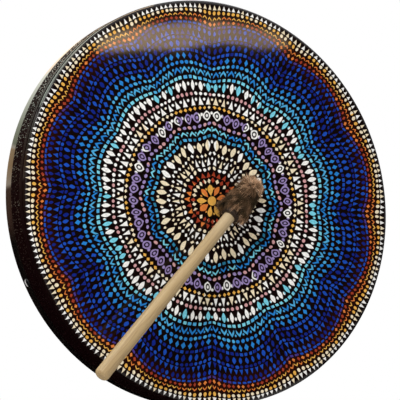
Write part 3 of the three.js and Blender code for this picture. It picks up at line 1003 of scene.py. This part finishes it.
def make_core(matrix):
    inset = FUR_WALL + FIT_GAP
    outline = head_outline(inset, 8)
    bore = STICK_NECK_RADIUS + FIT_GAP
    floor = STICK_LENGTH + FIT_GAP
    profile = [(0, floor), (bore, floor), (bore, outline[0][1]), *outline][::-1]
    core = beater_piece(matrix, "felt_core", profile, wool_felt(), "beater_core", "felt")


def make_neck_band(matrix):
    low = FUR_BASE - (FUR_NECK_LENGTH + NECK_BAND_WIDTH) / 2
    high = low + NECK_BAND_WIDTH
    inside, thick = NECK_BAND_RADIUS, NECK_BAND_THICKNESS
    ease = thick / 2
    profile = [
        (inside, low),
        *arc((inside + thick - ease, low + ease), ease, -90, 0, 4),
        *arc((inside + thick - ease, high - ease), ease, 0, 90, 4),
        (inside, high),
    ]
    beater_piece(matrix, "neck_band", profile, leather(), "beater_neck_band", "dark_leather")


def walk(outline, distance):
    """Point and direction on an outline at a distance along it from its first point."""
    for low, high in zip(outline, outline[1:]):
        length = math.dist(low, high)
        run = [(b - a) / length for a, b in zip(low, high)]
        if distance <= length:
            return [a + step * distance for a, step in zip(low, run)], run
        distance -= length
    return outline[-1], (-1.0, 0.0)


def make_fur(matrix):
    """The hide drawn over the core and gathered to a neck, with its pile of strands."""
    hide = head_outline(PILE_DEPTH, 8)
    inside = head_outline(FUR_WALL, 8)
    mouth = FUR_BASE - FUR_NECK_LENGTH
    neck_inside = STICK_NECK_RADIUS + FIT_GAP
    profile = [
        (neck_inside, mouth), (FUR_NECK_RADIUS, mouth), (FUR_NECK_RADIUS, hide[0][1]),
        *hide, *inside[::-1], (neck_inside, inside[0][1]),
    ]
    beater_piece(matrix, "fur_hide", profile, fur_hide(), "beater_fur", "fur")
    make_pile(matrix, hide)


def fur_tone(angle, along):
    """How pale the pile is at a place round and along the beater, before chance, with painted light at
    the tip and painted shade on the smooth side.
    """
    facing = math.cos(angle)
    smooth = max(0.0, -facing)
    near_tip = eased(along, *TIP_ZONE)
    patches = math.sin(PATCHES_ROUND * angle + PATCH_TURN) * math.sin(PATCH_PITCH * along)
    tone = TONE + PATCH_TONE * patches + UPPER_TONE * eased(along, *UPPER_ZONE)
    # Painted light on the tip's end, weaker on the +X side
    tone += TIP_TONE_AND_LIGHT * near_tip * (1 - TIP_TONE_LOST * max(0.0, facing))
    # Painted shade on the smooth side, away from the tip, lifted again at the base
    tone += SMOOTH_PAINTED_SHADE * smooth * (1 - near_tip)
    return tone + SMOOTH_BASE_TONE * smooth * (1 - eased(along, *BASE_ZONE))


def three(draw, *limits):
    """A vector of three draws."""
    return Vector([draw(*limits) for _ in range(3)])


def make_pile(matrix, hide):
    dice = random.Random(SEED)
    up = Vector((0, 1, 0))
    length = sum(math.dist(low, high) for low, high in zip(hide, hide[1:]))
    points, faces, tones, places = [], [], [], []

    def grow(path, tone, radius):
        """One strand: a thin spike along a path of points."""
        first = len(points)
        rings = len(path) - 1
        aside = three(dice.uniform, -1, 1)
        for k, point in enumerate(path[:-1]):
            run = (path[k + 1] - point).normalized()
            across = run.cross(aside).normalized()
            upright = run.cross(across)
            size = radius * (1.0 - STRAND_TAPER * k / len(path))
            for corner in range(STRAND_SIDES):
                angle = 2 * math.pi * corner / STRAND_SIDES
                points.append(point + (across * math.cos(angle) + upright * math.sin(angle)) * size)
                places.append(k / rings)
        points.append(path[-1])
        places.append(1.0)
        tones.extend([tone] * (len(points) - first))
        for k in range(rings):
            ring = first + STRAND_SIDES * k
            for corner in range(STRAND_SIDES):
                low, beside = ring + corner, ring + (corner + 1) % STRAND_SIDES
                if k < rings - 1:
                    faces.append((low, beside, beside + STRAND_SIDES, low + STRAND_SIDES))
                else:
                    faces.append((low, beside, len(points) - 1))

    for number in range(TUFTS + TIP_TUFTS):
        in_tip_tuft = number >= TUFTS
        spot = dice.random() ** TUFT_CROWDING
        if in_tip_tuft:
            spot = dice.uniform(*TIP_TUFT_SPOTS)
        (radius, along), (run_out, run_up) = walk(hide, length * spot)
        angle = dice.uniform(0, 2 * math.pi)
        out = Vector((math.cos(angle), 0, math.sin(angle)))
        root = out * radius + up * along
        back = -(out * run_out + up * run_up)
        normal = out * run_up - up * run_out
        near_tip = eased(along, *TIP_ZONE)
        smooth = max(0.0, -out.x)

        lift = dice.gauss(LIFT, LIFT_VARIES) + LIFT_AT_TIP * near_tip - SMOOTH_LIFT * smooth
        if in_tip_tuft:
            lift += TIP_TUFT_LIFT
        lift *= LIFT_ON_END + (1 - LIFT_ON_END) * run_up
        lean = dice.gauss(0.0, LEAN_VARIES)
        comb = back * (1 - 2 * near_tip)
        heading = (comb + normal * lift + back.cross(normal) * lean).normalized()
        reach = dice.uniform(*STRAND_LENGTHS)
        reach *= (1 - TIP_SHORTER * near_tip) * (1 - SMOOTH_SHORTER * smooth)
        tip = root + (heading + comb * STRAND_DROOP) * reach
        tip.x += near_tip * (TIP_COMB + SMOOTH_COMB * smooth)
        tip.y += near_tip * run_up * (TIP_FORWARD - TIP_SLANT * out.x)
        tuft_tone = fur_tone(angle, along) + dice.gauss(0, TONE_VARIES)

        for _ in range(TUFT_STRANDS):
            spread = three(dice.gauss, 0, 1) * TUFT_SPREAD
            spread -= normal * spread.dot(normal)
            start = root + spread
            end = tip + spread * TUFT_GATHER + three(dice.gauss, 0, 1) * TUFT_STRAY
            end = start + (end - start) * dice.uniform(*STRAND_TRIMS)
            belly = (start + end) / 2 + normal * reach * STRAND_BELLY
            path = []
            for k in range(STRAND_RINGS + 1):
                t = k / STRAND_RINGS
                point = matrix @ (start * (1 - t) ** 2 + belly * 2 * t * (1 - t) + end * t * t)
                point.y = min(point.y, FRONT_Y - dice.uniform(*HEAD_CLEARANCES))
                path.append(point)
            tone = min(max(tuft_tone + dice.gauss(0, STRAND_TONE_VARIES), 0.0), 1.0)
            grow(path, tone, dice.uniform(*STRAND_RADII))

    pile = new_piece("fur_pile", points, faces, fur_pile(), "beater", None, "fur", sharp=180)
    for name, values in (("tone", tones), ("along", places)):
        layer = pile.data.attributes.new(name, "FLOAT", "POINT")
        layer.data.foreach_set("value", values)


# Studio: a floor, a lamp, and screens that only reflections see

FLOOR_Z = -0.62
FLOOR_HALF = 30.0
WORLD_LIGHT = 0.5
KEY_PLACE = (-2.2, -1.8, 1.9)
KEY_SIZE = 1.4
KEY_POWER = 74.0
SQUARE = ((-1, -1), (1, -1), (1, 1), (-1, 1))
SCREEN_STEPS = 48

# Glow mirrored in the head: its ends in X and Z, the bulge of its lower and upper edge between
# them, a rise of the lower edge at a share of the way across, and its strength at both ends
HAZE_LEFT = (-0.176, 0.190)
HAZE_RIGHT = (0.122, 0.224)
HAZE_BULGE = (1 * MM, 40 * MM)
HAZE_RISE = 8 * MM
HAZE_RISE_PLACE = 0.63
HAZE_RISE_REACH = 0.25
HAZE_GLOW = (13.2, 7.4)
HAZE_COLOUR = (1.0, 0.74, 0.48)
HAZE_DISTANCE = 2.0
FLAG_DISTANCE = 2.3
FLAG_HALF = 0.9

# Walls about the drum's upright axis, and panels over them: degrees from +X towards +Y
WALL_RADIUS = 0.95
WALL_TOP = 0.72
WALL_GLOW = 3.0
BACKDROP_ANGLES = (93, 215)
WARM_ANGLES = (50, 93)
DARK_ANGLES = (-20, 50)
PANEL_TOP = 2.2
PANEL_GLOW = 8.0
PANEL_ANGLES = (95, 215)
WARM_PANEL_ANGLES = (72, 95)
WARM_PANEL_COLOUR = (0.9, 0.66, 0.44)

# Colours of a wall or panel by height
BACKDROP_TONES = (
    (-0.10, (0, 0, 0)),
    (0.02, (0.06, 0.03, 0.02)),
    (0.145, (0.07, 0.04, 0.025)),
    (0.165, (0.40, 0.33, 0.25)),
    (0.20, (0.36, 0.27, 0.18)),
    (0.25, (0.32, 0.21, 0.11)),
    (0.32, (0.33, 0.23, 0.13)),
    (0.33, (0.42, 0.37, 0.30)),
    (0.345, (0.19, 0.20, 0.14)),
    (0.42, (0.26, 0.28, 0.21)),
    (0.52, (0.44, 0.45, 0.38)),
    (0.595, (0.60, 0.60, 0.53)),
    (0.605, (0.7, 0.7, 0.67)),
    (0.65, (0.7, 0.7, 0.67)),
    (0.66, (0.1, 0.1, 0.09)),
    (WALL_TOP, (0.1, 0.1, 0.09)),
)
WARM_TONES = (
    (-0.2, (0, 0, 0)),
    (0.2, (0.2, 0.15, 0.1)),
    (0.4, (0.62, 0.5, 0.38)),
    (WALL_TOP, (0.62, 0.5, 0.38)),
)
PANEL_TONES = (
    (WALL_TOP, (0.8, 0.92, 0.78)),
    (1.0, (0.9, 1.0, 0.87)),
    (PANEL_TOP, (0.95, 0.85, 0.7)),
)


def add_world():
    """White behind the drum and in reflections, softer light on everything else."""
    shade = Shade("studio", bpy.data.worlds, "Background")
    rays = shade.node("LightPath").outputs
    seen = shade.math("MAXIMUM", rays["Is Camera Ray"], rays["Is Glossy Ray"])
    seen = shade.math("MAXIMUM", seen, rays["Is Transmission Ray"])
    strength = shade.span(seen, 0.0, 1.0, WORLD_LIGHT, 1.0)
    scene.world = shade.finish(Color=(1, 1, 1), Strength=strength)


def add_key():
    lamp = bpy.data.lights.new("key", "AREA")
    lamp.shape = "DISK"
    lamp.size = KEY_SIZE
    lamp.energy = KEY_POWER
    made = bpy.data.objects.new("key", lamp)
    made.location = KEY_PLACE
    made.rotation_euler = (-Vector(KEY_PLACE)).to_track_quat("-Z", "Y").to_euler()
    made.visible_camera = False
    scene.collection.objects.link(made)


def add_screen(name, points, faces, material):
    """A stage surface that shows in reflections only."""
    screen = mesh_object(name, points, faces)
    screen.data.materials.append(material)
    for flag in ("camera", "diffuse", "transmission", "volume_scatter", "shadow"):
        setattr(screen, f"visible_{flag}", False)


def lit(shade, colour, strength):
    """The material of a surface that only gives light."""
    return shade.finish(Base_Color=(0, 0, 0), Specular_IOR_Level=0.0, Roughness=1.0,
                        Emission_Color=colour, Emission_Strength=strength)


def unlit(name):
    return lit(Shade(name), (0, 0, 0), 0.0)


def mirrored(x, z, distance):
    """The place that the camera sees reflected at a point of the head, so far in front of it."""
    camera = scene.camera.location
    image = Vector((camera.x, 2 * FRONT_Y - camera.y, camera.z))
    ray = Vector((x, FRONT_Y, z)) - image
    return image + ray * (1 + distance / VIEW_DISTANCE)


def add_head_reflections():
    """A lens-shaped glow near the top of the head, weaker to the right, and a dark flag behind it."""
    points, faces = [], []
    for k in range(SCREEN_STEPS + 1):
        share = k / SCREEN_STEPS
        x, z = (a + (b - a) * share for a, b in zip(HAZE_LEFT, HAZE_RIGHT))
        height = math.sqrt(4 * share * (1 - share))
        rise = HAZE_RISE * (1 - eased(abs(share - HAZE_RISE_PLACE), 0, HAZE_RISE_REACH))
        low, high = (bulge * height for bulge in HAZE_BULGE)
        points += [mirrored(x, z + edge, HAZE_DISTANCE) for edge in (low + rise, high)]
        if k:
            faces.append((2 * k - 2, 2 * k - 1, 2 * k + 1, 2 * k))
    shade = Shade("haze")
    strength = shade.span(shade.axes()[0], points[0].x, points[-1].x, *HAZE_GLOW)
    add_screen("haze", points, faces, lit(shade, HAZE_COLOUR, strength))
    half = FLAG_HALF / (1 + FLAG_DISTANCE / VIEW_DISTANCE)
    points = [mirrored(x * half, z * half, FLAG_DISTANCE) for x, z in SQUARE]
    add_screen("flag", points, [(0, 1, 2, 3)], unlit("flag"))


def curved_wall(angles, low, high):
    """Points and faces of a wall about the drum's upright axis, between two angles and heights."""
    points, faces = [], []
    for k in range(SCREEN_STEPS + 1):
        angle = math.radians(angles[0] + (angles[1] - angles[0]) * k / SCREEN_STEPS)
        x, y = WALL_RADIUS * math.cos(angle), WALL_RADIUS * math.sin(angle)
        points += [(x, y, low), (x, y, high)]
        if k:
            faces.append((2 * k - 2, 2 * k, 2 * k + 1, 2 * k - 1))
    return points, faces


def by_height(shade, tones):
    """Colours by height, from pairs of height and colour."""
    low, high = tones[0][0], tones[-1][0]
    stops = [((place - low) / (high - low), colour) for place, colour in tones]
    return shade.ramp(shade.span(shade.axes()[2], low, high), stops)[0]


def add_side_reflections():
    """What the drum's side reflects: walls about it, panels over them, and a dark floor."""
    floor = FLOOR_Z + MM
    for name, tones, strength, angles, low, high in (
        ("backdrop", BACKDROP_TONES, WALL_GLOW, BACKDROP_ANGLES, floor, WALL_TOP),
        ("warm_wall", WARM_TONES, WALL_GLOW, WARM_ANGLES, floor, WALL_TOP),
        ("panel", PANEL_TONES, PANEL_GLOW, PANEL_ANGLES, WALL_TOP, PANEL_TOP),
    ):
        shade = Shade(name)
        material = lit(shade, by_height(shade, tones), strength)
        add_screen(name, *curved_wall(angles, low, high), material)
    warm = lit(Shade("warm_panel"), WARM_PANEL_COLOUR, PANEL_GLOW)
    add_screen("warm_panel", *curved_wall(WARM_PANEL_ANGLES, WALL_TOP, PANEL_TOP), warm)
    add_screen("dark_wall", *curved_wall(DARK_ANGLES, floor, WALL_TOP), unlit("dark_wall"))
    rim = curved_wall((WARM_ANGLES[0], BACKDROP_ANGLES[1]), floor, floor)[0][::2]
    fan = [(0, k, k + 1) for k in range(1, len(rim))]
    add_screen("dark_floor", [(0, 0, floor), *rim], fan, unlit("dark_floor"))


def add_floor():
    shade = Shade("pale_floor")
    colour = shade.mix(shade.noise(3.0, detail=6.0), "efeeec", "f6f5f3")
    material = shade.finish(Base_Color=colour, Roughness=0.9, Specular_IOR_Level=0.1)
    points = [(x * FLOOR_HALF, y * FLOOR_HALF, FLOOR_Z) for x, y in SQUARE]
    floor = mesh_object("floor", points, [(0, 1, 2, 3)])
    floor.data.materials.append(material)


add_camera()
bpy.context.scene.view_settings.view_transform = "Standard"
add_world()
add_floor()
add_key()
add_head_reflections()
add_side_reflections()

make_hoop()
make_head()
make_band()
make_handle()
make_fasteners()
beater = beater_matrix()
make_stick(beater)
make_core(beater)
make_neck_band(beater)
make_fur(beater)
